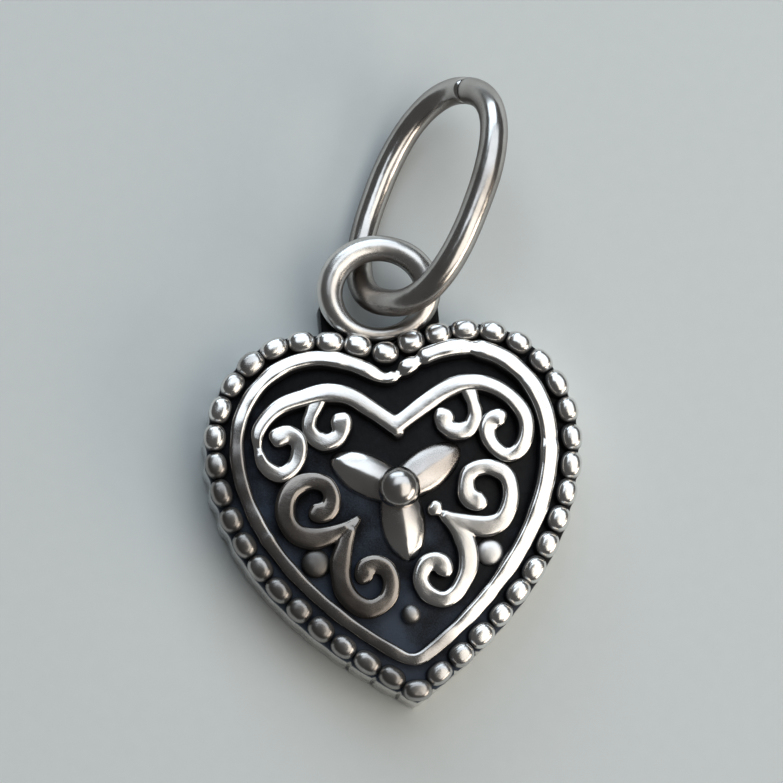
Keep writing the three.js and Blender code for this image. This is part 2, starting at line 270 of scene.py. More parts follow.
@dataclass(frozen=True)
class SilverFinish(Finish):
    """Silver rubbed bright on top, and left dark by the oxidising bath low down and on its flanks. On the
    loop and the jump ring that darkness is painted shade, and film that grows towards one side of the heart
    is painted shade too.
    """

    silver: Colour = (0.83, 0.815, 0.795)
    # Dark film: random tarnish, and painted shade where it grows towards one side of the heart.
    film_and_shade: Colour = (0.56, 0.535, 0.505)
    # Oxide in the heart's hollows; on the loop and the jump ring, painted shade.
    oxide_and_shade: Colour = (0.016, 0.017, 0.021)
    oxide_metal: float = 0.5
    dark_below: float = -9.0
    bright_above: float = -8.0
    flank: float = 0.25
    crown: float = 0.70
    ragged_height: float = 0.14
    ragged_flank: float = 0.2
    gloss: float = 0.15
    dull: float = 0.5
    film_dull: float = 0.10
    grain_dull: float = 0.04
    scratch_dull: float = 0.02
    filmed: float = 0.4
    film_from: float = -0.08
    film_full: float = 0.22
    film_grain: float = 0.04
    # How far the film grows towards one side of the heart, which is painted shade.
    painted_shade_slope: float = 0.0
    painted_shade_side: tuple[float, float] = (1.2, 0.8)
    clean: float = 0.0
    dents: float = 0.005
    fine_relief: float = 0.0002
    cloud_size: float = 0.9
    smear_size: float = 2.6
    grain_size: float = 0.06
    dent_size: float = 0.55
    scratch_size: float = 0.9
    scratch_turn: tuple[float, float, float] = (0.3, 0.2, 0.6)
    scratch_draw: tuple[float, float, float] = (1.0, 14.0, 6.0)
    scratch_width: float = 0.035
    seed: float = 0.0

    def surface(self, bench: Bench, place: bpy.types.NodeSocket) -> dict[str, Any]:
        """What the shader's sockets get.

        Args:
            bench: the shader's bench.
            place: the point on the surface, in metres.

        Returns:
            Values, terms or sockets by socket name.
        """
        x, y, z = bench.split(place)
        cloud = bench.noise(place, self.cloud_size * MM, self.seed, detail=3.0)
        smear = bench.noise(place, self.smear_size * MM, self.seed + 3)
        grain = bench.noise(place, self.grain_size * MM, self.seed + 5)
        hollow = bench.noise(place, self.dent_size * MM, self.seed + 7, detail=1.0)

        marked = bench.node("ShaderNodeAttribute", {"attribute_name": "facing"}, {})
        facing = bench.term(marked.outputs["Fac"]) + cloud * self.ragged_flank
        height = z / MM + cloud * self.ragged_height
        # Dark low down and on flanks: oxide on the heart, painted shade on the loop and the jump ring.
        bright = height.step(self.dark_below, self.bright_above) * facing.step(self.flank, self.crown)

        # Painted shade: the film grows towards one side of the heart, over its random smear.
        side = (x * self.painted_shade_side[0] + y * self.painted_shade_side[1]) / MM
        left = smear + grain * self.film_grain - side * self.painted_shade_slope - self.clean
        film_and_shade = left.step(self.film_from, self.film_full) * self.filmed

        turned = bench.node("ShaderNodeMapping", {}, {0: place, "Rotation": self.scratch_turn})
        drawn = bench.node("ShaderNodeMapping", {}, {0: turned, "Scale": self.scratch_draw})
        streak = bench.noise(drawn, self.scratch_size * MM, self.seed + 11)
        scratch = 1 - abs(streak).step(0.0, self.scratch_width)

        tone = bench.mix(film_and_shade, self.silver, self.film_and_shade)
        rough = self.gloss + film_and_shade * self.film_dull + grain * self.grain_dull + scratch * self.scratch_dull
        return {
            "Base Color": bench.mix(bright, self.oxide_and_shade, tone),
            "Roughness": rough + (1 - bright) * (self.dull - self.gloss),
            "Metallic": bright * (1 - self.oxide_metal) + self.oxide_metal,
            "Normal": bench.bump(hollow * self.dents + (grain - scratch) * self.fine_relief),
        }


@dataclass(frozen=True)
class FieldFinish(Finish):
    """Blue-black field of the plate, over a side wall that handling has rubbed bright. Its bluish colour is
    partly random mottling and partly a painted sheen that grows towards the bottom and left.
    """

    deep: Colour = (0.0030, 0.0034, 0.0050)
    # Bluish colour of the field's random mottling and of its painted sheen.
    mottle_and_sheen: Colour = (0.0470, 0.0610, 0.0880)
    wall: Colour = (0.76, 0.75, 0.735)
    wall_top: float = 1.46
    wall_fade: float = 1.62
    ragged_wall: float = 0.16
    mottle_and_sheen_from: float = -0.06
    mottle_and_sheen_full: float = 0.30
    painted_sheen_side: tuple[float, float] = (0.035, 0.05)
    mottle_and_sheen_grain: float = 0.3
    dull: float = 0.46
    pit_dull: float = 0.30
    wall_gloss: float = 0.24
    wall_smooth: float = 0.75
    gleam: float = 0.16
    pitted: float = 0.010
    fine_relief: float = 0.0010
    cloud_size: float = 1.5
    grain_size: float = 0.05
    pit_size: float = 0.16
    seed: float = 0.0

    def surface(self, bench: Bench, place: bpy.types.NodeSocket) -> dict[str, Any]:
        """What the shader's sockets get.

        Args:
            bench: the shader's bench.
            place: the point on the surface, in metres.

        Returns:
            Values, terms or sockets by socket name.
        """
        x, y, z = bench.split(place)
        cloud = bench.noise(place, self.cloud_size * MM, self.seed, detail=4.0)
        grain = bench.noise(place, self.grain_size * MM, self.seed + 2)
        pit = bench.noise(place, self.pit_size * MM, self.seed + 4)

        rubbed = 1 - (z / MM + cloud * self.ragged_wall).step(self.wall_top, self.wall_fade)
        # Painted sheen: the bluish colour grows towards the bottom and left of the field.
        side = (x * self.painted_sheen_side[0] + y * self.painted_sheen_side[1]) / MM
        mottle_and_sheen_share = (cloud + grain * self.mottle_and_sheen_grain - side).step(self.mottle_and_sheen_from, self.mottle_and_sheen_full)
        pits = (pit + 0.5) * self.pitted * (1 - rubbed * self.wall_smooth)
        return {
            "Base Color": bench.mix(rubbed, bench.mix(mottle_and_sheen_share, self.deep, self.mottle_and_sheen), self.wall),
            "Roughness": self.dull + pit * self.pit_dull - rubbed * self.wall_gloss,
            "Metallic": rubbed,
            "Specular IOR Level": self.gleam,
            "Normal": bench.bump(pits + grain * self.fine_relief),
        }


@dataclass(frozen=True)
class PaperFinish(Finish):
    """Plain pale card that the charm lies on."""

    tone: Colour = (0.76, 0.80, 0.80)
    fleck: Colour = (0.72, 0.765, 0.765)
    dull: float = 0.9
    pulp_size: float = 0.5

    def surface(self, bench: Bench, place: bpy.types.NodeSocket) -> dict[str, Any]:
        """What the shader's sockets get, by socket name."""
        pulp = bench.noise(place, self.pulp_size * MM, detail=3.0) + 0.5
        return {"Base Color": bench.mix(pulp, self.fleck, self.tone), "Roughness": self.dull}


# Lines and outlines


def unit(rows: np.ndarray) -> np.ndarray:
    """Each row as a direction of length one."""
    return rows / np.linalg.norm(rows, axis=1)[:, None]


def swell(away: np.ndarray, reach: float) -> np.ndarray:
    """A smooth swelling: 1 where away is nought, and next to nothing a few reaches off."""
    return np.exp(-((away / reach) ** 2))


def smooth_step(value: np.ndarray, low: float, high: float) -> np.ndarray:
    """A smooth step from 0 at low to 1 at high."""
    t = np.clip((value - low) / (high - low), 0.0, 1.0)
    return t * t * (3 - 2 * t)


def waver(along: np.ndarray, waves: Spots) -> np.ndarray:
    """Slight swells along a hand-drawn wire, from waves of given size, rate and start."""
    return sum(size * np.sin(rate * along + start) for size, rate, start in waves)


def round_end(apart: np.ndarray, radius: float, depth: float) -> np.ndarray:
    """How far a wire closes in towards its end: 1 from the radius on, and least at the end itself."""
    return np.sqrt(1 - depth * np.clip(1 - apart / radius, 0.0, 1.0) ** 2)


def oval(turn: np.ndarray, half: Sequence[float]) -> np.ndarray:
    """Points of an oval of given half sizes, at given angles."""
    return np.array(half) * np.stack([np.cos(turn), np.sin(turn)], axis=1)


def bezier(points: Sequence[Sequence[float]], count: int) -> np.ndarray:
    """Points along a curve that its control points draw out.

    Args:
        points: the control points, of which it meets the first and the last.
        count: how many points to return, ends included.

    Returns:
        The points.
    """
    t = np.linspace(0.0, 1.0, count)[:, None]
    top = len(points) - 1
    return sum(math.comb(top, k) * (1 - t) ** (top - k) * t**k * np.array(p) for k, p in enumerate(points))


def both_halves(right: np.ndarray) -> np.ndarray:
    """A closed outline from its right half, whose ends lie on the middle line."""
    return np.vstack([right, right[1:-1][::-1] * [-1, 1]])


def at_height(outline: np.ndarray, height: float) -> np.ndarray:
    """Plan points as points in space."""
    return np.column_stack([outline, np.full(len(outline), height)])


def evenly(points: np.ndarray, count: int) -> np.ndarray:
    """Points at even steps along a polyline.

    Args:
        points: the polyline's points.
        count: how many to return, ends included.

    Returns:
        The even points.
    """
    steps = np.linalg.norm(np.diff(points, axis=0), axis=1)
    along = np.concatenate([[0.0], np.cumsum(steps)])
    wanted = np.linspace(0.0, along[-1], count)
    return np.stack([np.interp(wanted, along, points[:, k]) for k in range(points.shape[1])], axis=1)


def through(points: Sequence[Sequence[float]], count: int) -> np.ndarray:
    """A smooth line through given points.

    Args:
        points: the points to pass through.
        count: how many even points to return.

    Returns:
        The points of the line.
    """
    given = np.array(points, float)
    ends = np.vstack([2 * given[0] - given[1], given, 2 * given[-1] - given[-2]])
    knots = np.concatenate([[0.0], np.cumsum(np.linalg.norm(np.diff(ends, axis=0), axis=1) ** 0.5)])
    fine_steps = 24
    blends = (((0, 1), (1, 2), (2, 3)), ((0, 2), (1, 3)), ((1, 2),))
    dense = []
    for i in range(1, len(ends) - 2):
        k = knots[i - 1 : i + 3]
        t = np.linspace(k[1], k[2], fine_steps, endpoint=False)[:, None]
        row = ends[i - 1 : i + 3]
        for pairs in blends:
            shares = [(t - k[a]) / (k[b] - k[a]) for a, b in pairs]
            row = [(1 - s) * row[n] + s * row[n + 1] for n, s in enumerate(shares)]
        dense.append(row[0])
    return evenly(np.vstack([*dense, given[-1:]]), count)


def mitre(points: np.ndarray, closed: bool) -> np.ndarray:
    """How much wider a wire has to be cut where it turns a corner.

    Args:
        points: the plan points of the wire.
        closed: whether the last point joins the first.

    Returns:
        One factor for each point, 1 on a straight run.
    """
    sharpest = 0.25
    before = np.roll(points, 1, axis=0)
    after = np.roll(points, -1, axis=0)
    if not closed:
        before[0] = 2 * points[0] - points[1]
        after[-1] = 2 * points[-1] - points[-2]
    onward = np.sum(unit(points - before) * unit(after - points), axis=1)
    return 1 / np.sqrt(np.clip((1 + onward) / 2, sharpest, 1.0))


def eased(points: np.ndarray, corners: Sequence[Sequence[float]], reach: float, rounds: int) -> np.ndarray:
    """Rounds a closed line off near its corners.

    Args:
        points: the line's plan points.
        corners: the places to round.
        reach: how far from a corner the line gives way.
        rounds: how often it gives way, which sets the radius.

    Returns:
        The rounded line.
    """
    done = points.copy()
    near = sum(swell(np.linalg.norm(points - c, axis=1), reach) for c in np.array(corners))
    for _ in range(rounds):
        between = (np.roll(done, 1, axis=0) + np.roll(done, -1, axis=0)) / 2
        done += (between - done) * near[:, None]
    return done


@dataclass(frozen=True)
class HeartLine:
    """A heart's outline: cleft, lobe, flank and tip, in millimetres and shares of its half width."""

    half: float
    top: float
    tip: float
    cleft: float
    widest: float = 2.1
    peak: float = 0.46
    shoulder: float = 0.55
    flank_drop: float = 0.515
    tip_pull: tuple[float, float] = (0.6, 0.37)
    fineness: int = 200

    def right_half(self, count: int) -> np.ndarray:
        """Even points from the cleft over the right lobe to the tip.

        Args:
            count: how many points, ends included.

        Returns:
            The points.
        """
        peak = self.peak * self.half
        cleft = (0.0, self.top - self.cleft)
        lobe = bezier((cleft, (self.shoulder * peak, self.top), (peak, self.top)), self.fineness)
        turn = np.linspace(np.pi / 2, 0.0, self.fineness)
        crown = oval(turn, (self.half - peak, self.top - self.widest)) + (peak, self.widest)
        out, low = (share * self.half for share in self.tip_pull)
        side = (self.half, self.widest)
        below = (self.half, self.widest - self.flank_drop * self.half)
        flank = bezier((side, below, (out, low - self.tip), (0.0, -self.tip)), self.fineness)
        return evenly(np.vstack([lobe, crown[1:], flank[1:]]), count)


# Workshop


def linked(name: str, data: bpy.types.ID) -> bpy.types.Object:
    """Puts a new object in the scene.

    Args:
        name: the object's name.
        data: its mesh, light or camera.

    Returns:
        The object.
    """
    made = bpy.data.objects.new(name, data)
    bpy.context.scene.collection.objects.link(made)
    return made


class Workshop:
    """Turns meshes in millimetres into finished pieces in metres."""

    weld: float = 1e-5
    wire_sides: int = 32
    laid_crown: float = 0.60
    crown_flatness: float = 0.38
    side_flatness: float = 0.50

    def blank(
        self, name: str, points: Sequence, edges: Sequence = (), faces: Sequence = ()
    ) -> bpy.types.Object:
        """A working object in millimetres.

        Args:
            name: the piece's name.
            points: its points.
            edges: pairs of point numbers.
            faces: lists of point numbers.

        Returns:
            The object.
        """
        mesh = bpy.data.meshes.new(name)
        mesh.from_pydata([tuple(p) for p in points], list(edges), list(faces))
        return linked(name, mesh)

    def loft(self, name: str, rings: Sequence[np.ndarray]) -> bpy.types.Object:
        """A closed skin over rings of points, flat across its first and its last.

        Args:
            name: the piece's name.
            rings: the rings, with as many points each.

        Returns:
            The working object.
        """
        count = len(rings[0])
        last = (len(rings) - 1) * count
        faces = [list(range(count)), list(range(last, last + count))[::-1]]
        for first in range(0, last, count):
            for i in range(count):
                here, beside = first + i, first + (i + 1) % count
                faces.append([here, here + count, beside + count, beside])
        return self.blank(name, np.vstack(rings), faces=faces)

    def cast(self, name: str, build: bmesh.types.BMesh) -> bpy.types.Object:
        """A working object from a mesh that is being built.

        Args:
            name: the piece's name.
            build: the mesh, which this uses up.

        Returns:
            The object.
        """
        mesh = bpy.data.meshes.new(name)
        build.to_mesh(mesh)
        build.free()
        return linked(name, mesh)

    def wires(
        self,
        name: str,
        section: Section,
        finish: Finish,
        runs: Sequence[tuple[np.ndarray, np.ndarray, np.ndarray]],
        values: dict[str, float],
        closed: bool = False,
    ) -> bpy.types.Object:
        """Working wires, swept along their lines.

        Args:
            name: the piece's name.
            section: the cut across them.
            finish: their finish.
            runs: the points of each wire, with its width and its height at each.
            values: the tree's other inputs by name.
            closed: whether each wire's end joins its start.

        Returns:
            The working object.
        """
        points, edges = [], []
        for line, _, _ in runs:
            first = len(points)
            points.extend([*p, 0.0][:3] for p in line)
            edges.extend((i, i + 1) for i in range(first, len(points) - 1))
            if closed:
                edges.append((len(points) - 1, first))
        made = self.blank(name, points, edges)
        self.mark(made, "girth", np.concatenate([girth for _, girth, _ in runs]))
        self.mark(made, "rise", np.concatenate([rise for _, _, rise in runs]))
        self.shape(made, self.wire_tree(section), {**values, "Material": finish.material()})
        return made

    def copies(
        self,
        name: str,
        shape: bpy.types.Object,
        finish: Finish,
        spots: tuple[np.ndarray, np.ndarray, np.ndarray],
        values: dict[str, float],
        nodes: Sequence[str],
        **own: float,
    ) -> bpy.types.Object:
        """Sets copies of one shape and finishes them as one polished piece.

        Args:
            name: the piece's name.
            shape: the working object to copy, which this uses up.
            finish: their finish.
            spots: places, sizes along, across and up, and turns about the upright, a row for each copy.
            values: the tree's other inputs by name.
            nodes: the solids that they stand for.
            own: what complete takes beyond that.

        Returns:
            The finished piece.
        """
        places, sizes, turns = spots
        blank = self.blank(name, places)
        self.mark(blank, "size", sizes)
        self.mark(blank, "turn", turns)
        inputs = {"Shape": shape, **values, "Material": finish.material()}
        self.shape(blank, self.setting_tree(), inputs)
        piece = self.complete(blank, finish, Slot.POLISHED, nodes, **own)
        bpy.data.objects.remove(shape)
        return piece

    def mark(self, blank: bpy.types.Object, name: str, values: np.ndarray) -> None:
        """Stores one number, or one vector, at each point.

        Args:
            blank: the working object.
            name: the attribute's name.
            values: a row for each point.
        """
        kind, part = ("FLOAT_VECTOR", "vector") if values.ndim == 2 else ("FLOAT", "value")
        store = blank.data.attributes.new(name, kind, "POINT")
        store.data.foreach_set(part, values.astype(np.float32).ravel())

    def shape(self, blank: bpy.types.Object, tree: bpy.types.NodeTree, values: dict[str, Any]) -> None:
        """Puts a geometry tree on a working object.

        Args:
            blank: the working object.
            tree: the tree.
            values: its inputs by name.
        """
        work = blank.modifiers.new("shape", "NODES")
        work.node_group = tree
        for socket in tree.interface.items_tree:
            if socket.item_type == "SOCKET" and socket.in_out == "INPUT" and socket.name in values:
                work[socket.identifier] = values[socket.name]

    def melt(self, blank: bpy.types.Object, grain: float, rounds: int) -> None:
        """Runs a working object's parts together, as solder does.

        Args:
            blank: the working object.
            grain: the width of a cell of the new surface.
            rounds: how often it is smoothed.
        """
        run = blank.modifiers.new("melt", "REMESH")
        run.mode = "VOXEL"
        run.voxel_size = grain
        flow = blank.modifiers.new("flow", "SMOOTH")
        flow.factor = 0.5
        flow.iterations = rounds

    def complete(
        self,
        blank: bpy.types.Object,
        finish: Finish,
        slot: Slot,
        nodes: Sequence[str],
        body: Body = Body.HEART,
        crease: float = 50.0,
        rubbed: float = 0.0,
        about: Sequence[float] = (0.0, 0.0),
    ) -> bpy.types.Object:
        """Makes the plain mesh in metres that rides on a body and stands for its solids.

        Args:
            blank: the working object, with its modifiers.
            finish: the finish.
            slot: the record's slot for its finish; not used.
            nodes: the solids that it stands for.
            body: what the piece moves with.
            crease: edges sharper than this many degrees stay sharp.
            rubbed: how far sides that face away from the middle count as tops; on the beads this is wear,
                on the loop a painted highlight.
            about: the middle they face away from.

        Returns:
            The finished piece.
        """
        ready = bpy.context.evaluated_depsgraph_get()
        mesh = bpy.data.meshes.new_from_object(blank.evaluated_get(ready), depsgraph=ready)
        name = blank.name
        bpy.data.objects.remove(blank)
        build = bmesh.new()
        build.from_mesh(mesh)
        bmesh.ops.remove_doubles(build, verts=build.verts, dist=self.weld)
        bmesh.ops.recalc_face_normals(build, faces=build.faces)
        build.to_mesh(mesh)
        build.free()
        mesh.transform(Matrix.Scale(MM, 4))
        mesh.name = name
        mesh.materials.clear()
        mesh.materials.append(finish.material())
        mesh.polygons.foreach_set("material_index", [0] * len(mesh.polygons))
        mesh.shade_smooth()
        mesh.set_sharp_from_angle(angle=math.radians(crease))
        self._mark_facing(mesh, rubbed, about)
        piece = linked(name, mesh)
        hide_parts(*nodes)
        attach(piece, body.value)
        log.info("%s: %d faces for %d solids", name, len(mesh.polygons), len(nodes))
        return piece

    def _mark_facing(self, mesh: bpy.types.Mesh, rubbed: float, about: Sequence[float]) -> None:
        """Stores how far each point faces up, for the finish to read, which darkens what faces away: oxide
        on the heart, painted shade on the loop and the jump ring.

        Args:
            mesh: the mesh, in metres.
            rubbed: how far sides that face away from the middle count as tops; on the beads this is wear,
                on the loop a painted highlight.
            about: the middle they face away from, in millimetres.
        """
        normals, places = (np.empty(len(mesh.vertices) * 3, np.float32) for _ in range(2))
        mesh.vertex_normals.foreach_get("vector", normals)
        mesh.vertices.foreach_get("co", places)
        normals, places = normals.reshape(-1, 3), places.reshape(-1, 3)
        outward = np.sum(normals[:, :2] * unit(places[:, :2] - np.array(about) * MM), axis=1)
        facing = normals[:, 2] + rubbed * np.maximum(outward, 0.0)
        store = mesh.attributes.new("facing", "FLOAT", "POINT")
        store.data.foreach_set("value", facing.astype(np.float32))

    @cache
    def wire_tree(self, section: Section) -> bpy.types.NodeTree:
        """The tree that sweeps a wire along a path of edges, made once for each section.

        The path's points carry girth, the wire's width, and rise, its height. A laid wire leans outwards
        by Lean radians for each millimetre from the middle, as buffing leaves it.

        Args:
            section: the cut across the wire.

        Returns:
            The tree.
        """
        sizes = dict.fromkeys(("Base", "Lean", "Wobble", "Seed"), "Float")
        bench, given = self._tree(f"{section.value}_wire", sizes)
        path = bench.node("GeometryNodeMeshToCurve", {}, {0: given.outputs["Geometry"]})
        around = {"Resolution": self.wire_sides, "Radius": 1.0}
        ring = bench.node("GeometryNodeCurvePrimitiveCircle", {}, around)
        # The position is that of the path, of the cut and of the swept wire in turn
        x, y, z = bench.split(bench.node("GeometryNodeInputPosition", {}, {}))
        girth = self._read(bench, "girth")
        if section is Section.LAID:
            lean = bench.term(given.outputs["Lean"])
            upright = bench.join(x * lean, y * lean, 1.0)
            path = bench.node("GeometryNodeSetCurveNormal", {"mode": "FREE"}, {0: path, "Normal": upright})
            dome = self.laid_crown * x.sign() * abs(x) ** self.crown_flatness
            rise = (1 - self.laid_crown + dome).at_least(0.0)
            cut = bench.join(rise, 0.5 * y.sign() * abs(y) ** self.side_flatness, 0.0)
        else:
            path = bench.node("GeometryNodeSetCurveNormal", {"mode": "MINIMUM_TWIST"}, {0: path})
            cut = bench.join(0.5 * x, 0.5 * y, 0.0)
        cut_line = bench.node("GeometryNodeSetPosition", {}, {0: ring, "Position": cut})
        sweep = {0: path, 1: cut_line, "Scale": girth, "Fill Caps": True}
        swept = bench.node("GeometryNodeCurveToMesh", {}, sweep)
        if section is Section.LAID:
            raised = bench.join(x, y, z / girth * self._read(bench, "rise") + given.outputs["Base"])
            swept = bench.node("GeometryNodeSetPosition", {}, {0: swept, "Position": raised})
        self._close(bench, given, swept, bump_size=0.8)
        return bench.tree

    @cache
    def setting_tree(self) -> bpy.types.NodeTree:
        """The tree that sets copies of one shape on marked points, made once.

        The points carry size, a length, width and height, and turn, an angle about the upright. Tilt leans
        each copy to its left.

        Returns:
            The tree.
        """
        sizes = dict.fromkeys(("Uneven", "Skew", "Tilt", "Wobble", "Seed"), "Float")
        bench, given = self._tree("setting", {"Shape": "Object", **sizes})
        shape = bench.node("GeometryNodeObjectInfo", {}, {0: given.outputs["Shape"]})
        uneven, skew, tilt = (bench.term(given.outputs[n]) for n in ("Uneven", "Skew", "Tilt"))
        chance = {"data_type": "FLOAT_VECTOR"}
        least, most = (bench.join(*(1 + s * uneven,) * 3) for s in (-1, 1))
        stretch = bench.node("FunctionNodeRandomValue", chance, {0: least, 1: most, "Seed": 11})
        back, forth = (bench.join(*(s * skew,) * 3) for s in (-1, 1))
        lean = bench.node("FunctionNodeRandomValue", chance, {0: back, 1: forth, "Seed": 23})
        given_size = self._read(bench, "size", "FLOAT_VECTOR")
        size = bench.node("ShaderNodeVectorMath", {"operation": "MULTIPLY"}, {0: given_size, 1: stretch})
        angle = bench.join(-1 * tilt, 0.0, self._read(bench, "turn"))
        angles = bench.node("ShaderNodeVectorMath", {"operation": "ADD"}, {0: angle, 1: lean})
        turn = bench.node("FunctionNodeEulerToRotation", {}, {0: angles})
        copy = {"Instance": shape.outputs["Geometry"], "Rotation": turn, "Scale": size}
        placed = bench.node("GeometryNodeInstanceOnPoints", {}, {0: given.outputs["Geometry"], **copy})
        real = bench.node("GeometryNodeRealizeInstances", {}, {0: placed})
        self._close(bench, given, real, bump_size=0.35)
        return bench.tree

    def _tree(self, name: str, inputs: dict[str, str]) -> tuple[Bench, bpy.types.Node]:
        """Starts a geometry tree.

        Args:
            name: the tree's name.
            inputs: kinds of socket by input name, beside Geometry and Material.

        Returns:
            Its bench and its input node.
        """
        tree = bpy.data.node_groups.new(name, "GeometryNodeTree")
        for label, kind in {"Geometry": "Geometry", **inputs, "Material": "Material"}.items():
            tree.interface.new_socket(label, in_out="INPUT", socket_type=f"NodeSocket{kind}")
        tree.interface.new_socket("Geometry", in_out="OUTPUT", socket_type="NodeSocketGeometry")
        bench = Bench(tree)
        return bench, bench.node("NodeGroupInput", {}, {})

    def _read(self, bench: Bench, name: str, kind: str = "FLOAT") -> Term:
        """A number or a vector stored at each point."""
        made = bench.node("GeometryNodeInputNamedAttribute", {"data_type": kind}, {0: name})
        return bench.term(made.outputs[0])

    def _close(self, bench: Bench, given: bpy.types.Node, geometry: Any, bump_size: float) -> None:
        """Ends a tree: uneven as hand work leaves it, smooth, real and with its finish.

        Args:
            bench: the tree's bench.
            given: its input node, which has Wobble, Seed and Material.
            geometry: the surface.
            bump_size: the width of a bump, in millimetres.
        """
        place = bench.node("GeometryNodeInputPosition", {}, {})
        facing = bench.node("GeometryNodeInputNormal", {}, {})
        cloud = bench.noise(place, bump_size, given.outputs["Seed"], detail=1.0)
        lump = cloud * 2 * given.outputs["Wobble"]
        push = bench.node("ShaderNodeVectorMath", {"operation": "SCALE"}, {0: facing, "Scale": lump})
        uneven = bench.node("GeometryNodeSetPosition", {}, {0: geometry, "Offset": push})
        smooth = bench.node("GeometryNodeSetShadeSmooth", {}, {0: uneven})
        real = bench.node("GeometryNodeRealizeInstances", {}, {0: smooth})
        done = bench.node("GeometryNodeSetMaterial", {}, {0: real, "Material": given.outputs["Material"]})
        bench.node("NodeGroupOutput", {}, {0: done})


# The charm


@dataclass
class HeartPlate:
    """The solid heart, its side wall notched between the beads, and the saddle under the loop."""

    shop: Workshop
    beads: HeartLine
    bead_count: int = 40
    steps_per_bead: int = 6
    thickness: float = 1.7
    margin: float = 0.34
    corner: float = 1.08
    middle_gap: float = 0.13
    notch: float = 0.10
    notch_below: float = 0.02
    notch_fade: tuple[float, float] = (-1.5, 0.5)
    cut: float = 0.09
    cut_width: float = 0.045
    cut_gaps: tuple[int, ...] = (17, 18, 19)
    foot_profile: Spots = ((0.07, 0.0), (0.025, 0.02), (0.0, 0.07))
    face_profile: Spots = ((0.0, -0.2), (0.02, -0.1), (0.06, -0.04), (0.12, 0.0))
    saddle_inset: float = 0.06
    saddle_let_in: float = 0.02
    saddle_gap: float = 0.02
    scoop_points: int = 24
    finish: FieldFinish = FieldFinish("oxidised_plate")
    # The saddle's wall is near black where the plate's is bright silver: oxide, and painted shade under the
    # loop.
    saddle_finish: FieldFinish = FieldFinish(
        "oxidised_saddle", wall=(0.06, 0.06, 0.063), wall_top=0.2, wall_fade=0.9
    )

    def edge(self, out: float) -> np.ndarray:
        """The plate's outline.

        Args:
            out: how far it stands outside the bead line.

        Returns:
            Its points, clockwise from the cleft.
        """
        steps = self.bead_count * self.steps_per_bead
        line = self.beads.right_half(steps + 1)
        gaps = np.linspace(0.0, self.bead_count / 2, steps + 1)
        along = unit(np.gradient(line, axis=0))
        high_up = smooth_step(line[:, 1], *self.notch_fade)
        depth = self.notch_below + (self.notch - self.notch_below) * high_up
        drawn = depth * np.sin(np.pi * gaps) ** 2
        for gap in self.cut_gaps:
            drawn += self.cut * swell(gaps - gap - 0.5, self.cut_width)
        outward = np.stack([-along[:, 1], along[:, 0]], axis=1)
        right = line + outward * (out - drawn)[:, None]
        right = right[right[:, 0] > self.middle_gap]
        cleft = [0.0, self.beads.top - self.beads.cleft + self.corner * out]
        tip = [0.0, -self.beads.tip - self.corner * out]
        return both_halves(np.vstack([[cleft], right, [tip]]))

    def build(self) -> bpy.types.Object:
        """Makes and dresses the plate.

        Returns:
            The piece.
        """
        outer = self.edge(self.margin)
        along = unit(np.roll(outer, -1, axis=0) - np.roll(outer, 1, axis=0))
        inward = np.stack([along[:, 1], -along[:, 0]], axis=1)
        profile = [*self.foot_profile, *((inset, self.thickness + z) for inset, z in self.face_profile)]
        rings = [at_height(outer + inward * inset, z) for inset, z in profile]
        blank = self.shop.loft("heart_plate_worked", rings)
        return self.shop.complete(blank, self.finish, Slot.OXIDISED, ["heart_plate"], crease=35)

    def build_saddle(self, loop: "HangerLoop") -> bpy.types.Object:
        """Makes and dresses the block that fills the cleft under the loop.

        Args:
            loop: the loop that it carries.

        Returns:
            The piece.
        """
        side = loop.half_width + loop.wire / 2 - 2 * self.saddle_inset
        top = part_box("loop_saddle")[1].y / MM + self.saddle_inset
        hole = loop.hole + self.saddle_inset
        horn = math.asin((top - loop.centre[1]) / hole[1])
        foot = self.edge(self.margin + self.saddle_let_in)
        foot = foot[: len(foot) // 2 + 1]
        foot = foot[(foot[:, 0] < side) & (foot[:, 1] > 0)]
        turn = np.linspace(horn, -math.pi / 2, self.scoop_points)
        scoop = oval(turn, hole) + (0.0, loop.centre[1])
        outline = both_halves(np.vstack([foot, [[side, foot[-1, 1]], [side, top]], scoop]))
        depth = loop.centre[2] - loop.wire / 2 - self.saddle_gap
        blank = self.shop.loft("loop_saddle_worked", [at_height(outline, z) for z in (0.0, depth)])
        self.shop.melt(blank, grain=0.04, rounds=14)
        return self.shop.complete(blank, self.saddle_finish, Slot.OXIDISED, ["loop_saddle"], crease=60)


